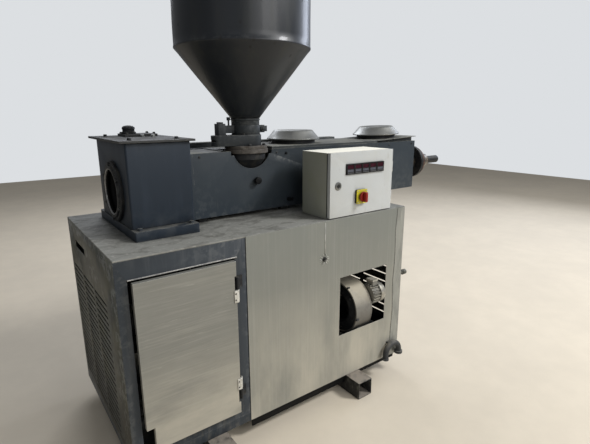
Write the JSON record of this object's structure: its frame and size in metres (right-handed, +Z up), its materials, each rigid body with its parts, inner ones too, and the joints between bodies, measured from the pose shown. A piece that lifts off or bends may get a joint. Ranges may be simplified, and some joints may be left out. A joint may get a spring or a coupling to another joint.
{
  "type": "plastic extruder",
  "caption": "Single-screw plastic extruder on a sheet metal base cabinet, with gearbox, covered barrel, hopper, vent hats, blower and control box.",
  "frame": {"origin": "on the floor under the middle of the machine's bounding box", "axes": "+X along the screw toward the die, -Y toward the doors, +Z up"},
  "size_m": [2.23, 0.98, 2.049],
  "materials": {
    "tube_steel": "worn dark paint with dust on the top faces",
    "cabinet_paint": "dark blue-grey semi-gloss paint",
    "table_steel": "dusty worn grey plate",
    "brushed_sheet": "vertically brushed stainless sheet",
    "brushed_door": "horizontally brushed steel door",
    "dark_steel": "dark oily steel",
    "light_hinge": "light grey hinge metal",
    "hose_rubber": "dusty dark rubber",
    "blower_metal": "dull cast aluminium",
    "motor_grey": "grey motor paint",
    "gear_paint": "dark blue-grey machine paint",
    "cover_paint": "dark grey glossy paint",
    "black_plastic": "black plastic",
    "hat_stainless": "bright stainless",
    "barrel_steel": "heat-tinted steel",
    "band_steel": "dull band heater steel",
    "die_brown": "brown oxidised steel",
    "rusty_flange": "tan steel with rust film",
    "hopper_paint": "dark grey satin paint",
    "enclosure_paint": "light grey powder coat",
    "lock_metal": "worn metal",
    "yellow_plastic": "yellow plastic",
    "red_plastic": "red plastic",
    "zinc_plate": "zinc-plated sheet"
  },
  "bodies": {
    "machine": {"foot_left": "tube_steel", "foot_right": "tube_steel", "floor_pan": "cabinet_paint", "front_frame": "cabinet_paint", "mid_post": "cabinet_paint", "louvre_end": "cabinet_paint", "vent_end": "cabinet_paint", "rear_panel": "cabinet_paint", "table_plate": "table_steel", "front_sheet": "brushed_sheet", "sheet_lock": "dark_steel", "frame_knuckles": "dark_steel", "hose_elbow": "hose_rubber", "blower_shelf": "cabinet_paint", "blower_scroll": "blower_metal", "blower_motor": "motor_grey", "gear_foot": "gear_paint", "gear_case": "gear_paint", "gear_lid": "dark_steel", "gear_ring": "dark_steel", "gear_breather": "dark_steel", "barrel_cover": "cover_paint", "cover_lid": "cover_paint", "end_lid": "cover_paint", "cover_feet": "dark_steel", "cover_knobs": "black_plastic", "rear_duct": "cover_paint", "vent_hat_left": "hat_stainless", "vent_hat_right": "hat_stainless", "barrel": "barrel_steel", "heater_bands": "band_steel", "die_flange": "die_brown", "die_head": "dark_steel", "feed_block": "dark_steel", "feed_flange": "rusty_flange", "gate_block": "hopper_paint", "throat_neck": "hopper_paint", "gate_arm": "hopper_paint", "hopper": "hopper_paint", "hopper_wall": "hopper_paint", "hopper_lid": "hopper_paint", "box_body": "enclosure_paint", "box_hinges": "light_hinge", "back_plate": "zinc_plate", "switchgear": "black_plastic"},
    "access_door": {"front_door": "brushed_door", "door_knuckles": "light_hinge"},
    "panel_door": {"box_door": "enclosure_paint", "controllers": "black_plastic", "box_lock": "lock_metal", "switch_plate": "yellow_plastic"},
    "main_switch": {"switch_knob": "red_plastic"}
  },
  "joints": [
    {"name": "front_door_hinge", "type": "hinge", "parent": "machine", "child": "access_door", "pos_m": [-0.669, -0.41, 0.476], "axis": [0, 0, 1], "range_deg": [0, 110]},
    {"name": "control_door_hinge", "type": "hinge", "parent": "machine", "child": "panel_door", "pos_m": [0.224, -0.383, 1.078], "axis": [0, 0, 1], "range_deg": [0, 110]},
    {"name": "main_switch_turn", "type": "hinge", "parent": "panel_door", "child": "main_switch", "pos_m": [0.002, -0.415, 1.0168], "axis": [0, 1, 0], "range_deg": [0, 90]}
  ]
}
